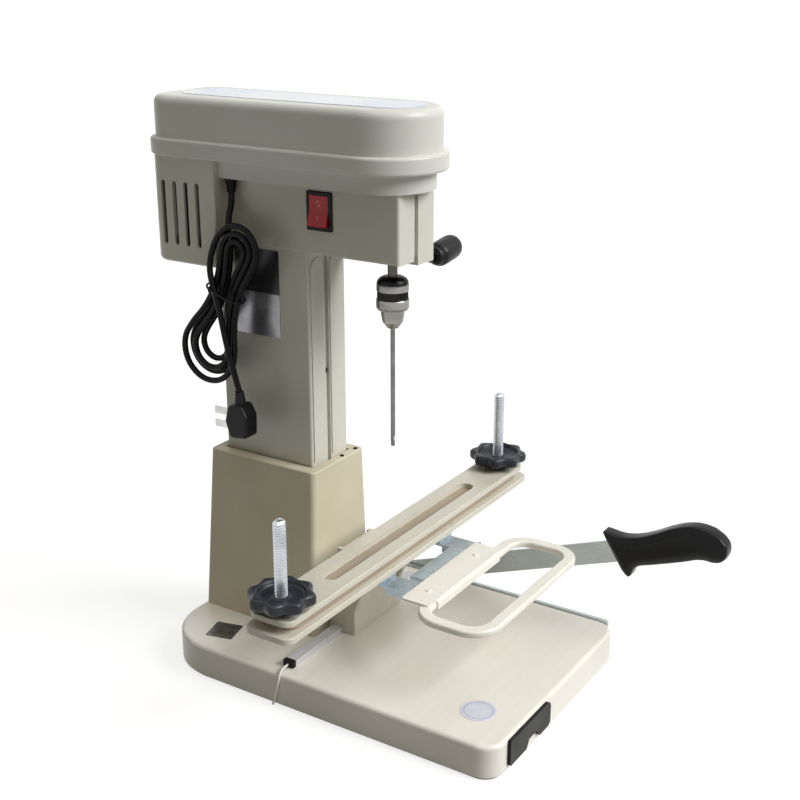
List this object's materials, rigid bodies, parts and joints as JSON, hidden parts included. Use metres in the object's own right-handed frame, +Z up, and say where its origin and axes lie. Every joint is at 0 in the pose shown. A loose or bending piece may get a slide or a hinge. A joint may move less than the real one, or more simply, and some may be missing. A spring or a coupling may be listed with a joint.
{
  "type": "paper_drill",
  "caption": "Bench paper drill: a head and column that a lever lowers on a hidden rack, a sliding clamp carriage with two star knobs, a trimming knife, a drawer and a mains lead.",
  "frame": {"origin": "On the table under the machine, at the middle of the anti-slip pad.", "axes": "+X to the machine's right as its user faces it, +Y away from the user towards the column, +Z up."},
  "size_m": [0.3929, 0.4741, 0.4854],
  "materials": {
    "board": "satin",
    "pad": "matte",
    "cover": "satin",
    "ivory": "matte",
    "lid": "satin",
    "bar_paint": "satin",
    "steel": "brushed",
    "zinc": "satin",
    "chuck_steel": "polished",
    "black": "satin",
    "knob_grey": "matte",
    "switch_red": "gloss",
    "cord_black": "satin",
    "label": "satin",
    "plate": "gloss",
    "pin_metal": "polished",
    "thread_white": "matte",
    "nylon": "matte",
    "rail_grey": "satin",
    "motor": "satin",
    "belt_rubber": "matte"
  },
  "bodies": {
    "base": {"anti_slip_pad": "pad", "base_board": "board", "column_foot": "steel", "column_cover": "cover", "guide_post": "steel", "feed_rack": "steel", "return_spring": "steel", "slide_rail": "rail_grey", "rail_end_plug": "black", "base_labels": "label", "fixed_blade": "steel", "knife_bolt": "steel", "binding_thread": "thread_white"},
    "head": {"left_body_half": "ivory", "right_body_half": "ivory", "centre_strips": "ivory", "guide_blocks": "nylon", "spindle_housing": "rail_grey", "spindle_bearings": "steel", "head_tray": "ivory", "belt_cover": "lid", "top_label": "label", "motor_housing": "ivory", "motor_can": "motor", "drive_belt": "belt_rubber", "switch_bezel": "black", "rating_plate": "plate", "cord_relief": "black", "cord_lead": "cord_black", "cord_hank": "cord_black", "cord_tie": "black", "cord_tail": "cord_black", "plug_body": "black", "plug_pins": "pin_metal"},
    "lever": {"feed_pinion": "steel", "feed_lever": "zinc", "lever_grip": "black"},
    "spindle_set": {"spindle": "steel", "spindle_pulley": "rail_grey", "chuck_body": "chuck_steel", "chuck_nose": "chuck_steel", "drill_bit": "steel"},
    "rotor": {"motor_rotor": "steel", "motor_pulley": "rail_grey"},
    "rocker": {"switch_rocker": "switch_red"},
    "carriage": {"saddle": "bar_paint", "lower_bar": "bar_paint", "clamp_bed": "bar_paint", "clamp_studs": "zinc", "back_gauge": "zinc", "hinge_fixed_leaves": "zinc"},
    "pressure_bar": {"upper_bar": "bar_paint"},
    "knob_l": {"left_knob": "knob_grey"},
    "knob_r": {"right_knob": "knob_grey"},
    "latch": {"hinge_moving_leaves": "zinc", "handle_plate": "bar_paint", "loop_handle": "bar_paint"},
    "knife": {"knife_blade": "steel", "knife_handle": "black"},
    "drawer_box": {"drawer": "black"}
  },
  "joints": [
    {"name": "head_slide", "type": "slide", "parent": "base", "child": "head", "axis": [0, 0, -1], "range_m": [0, 0.0855], "stiffness_N_per_m": 400, "springref_m": -0.16, "deforming": ["return_spring"]},
    {"name": "feed_lever_turn", "type": "hinge", "parent": "head", "child": "lever", "pos_m": [0.02435, 0.09075, 0.345], "axis": [1, 0, 0], "range_deg": [0, 169]},
    {"name": "motor_spin", "type": "hinge", "parent": "head", "child": "rotor", "pos_m": [-0.00565, 0.17575, 0.4], "axis": [0, 0, 1], "continuous": true},
    {"name": "spindle_spin", "type": "hinge", "parent": "head", "child": "spindle_set", "pos_m": [-0.00565, -0.00925, 0.4], "axis": [0, 0, 1], "continuous": true},
    {"name": "switch_tilt", "type": "hinge", "parent": "head", "child": "rocker", "pos_m": [-0.03295, 0.04155, 0.4024], "axis": [0, -1, 0], "range_deg": [0, 18]},
    {"name": "carriage_slide", "type": "slide", "parent": "base", "child": "carriage", "axis": [1, 0, 0], "range_m": [-0.06, 0.006]},
    {"name": "bar_lift", "type": "slide", "parent": "carriage", "child": "pressure_bar", "axis": [0, 0, 1], "range_m": [0, 0.05]},
    {"name": "knob_left_turn", "type": "hinge", "parent": "pressure_bar", "child": "knob_l", "pos_m": [-0.16005, -0.00925, 0.13], "axis": [0, 0, 1], "range_deg": [0, 9000]},
    {"name": "knob_right_turn", "type": "hinge", "parent": "pressure_bar", "child": "knob_r", "pos_m": [0.17995, -0.00925, 0.13], "axis": [0, 0, 1], "range_deg": [0, 9000]},
    {"name": "latch_lift", "type": "hinge", "parent": "carriage", "child": "latch", "pos_m": [0.01635, -0.01725, 0.0986], "axis": [-1, 0, 0], "range_deg": [0, 30]},
    {"name": "knife_swing", "type": "hinge", "parent": "base", "child": "knife", "pos_m": [0.11635, 0.05075, 0.023], "axis": [-1, 0, 0], "range_deg": [-16, 18]},
    {"name": "drawer_slide", "type": "slide", "parent": "base", "child": "drawer_box", "axis": [0, -1, 0], "range_m": [0, 0.075]}
  ],
  "couplings": [
    {"joint": "feed_lever_turn", "follows": "head_slide", "rad_per_m": 34.483},
    {"joint": "spindle_spin", "follows": "motor_spin", "ratio": 0.33333},
    {"joint": "knob_left_turn", "follows": "bar_lift", "rad_per_m": 3141.6},
    {"joint": "knob_right_turn", "follows": "bar_lift", "rad_per_m": 3141.6}
  ]
}
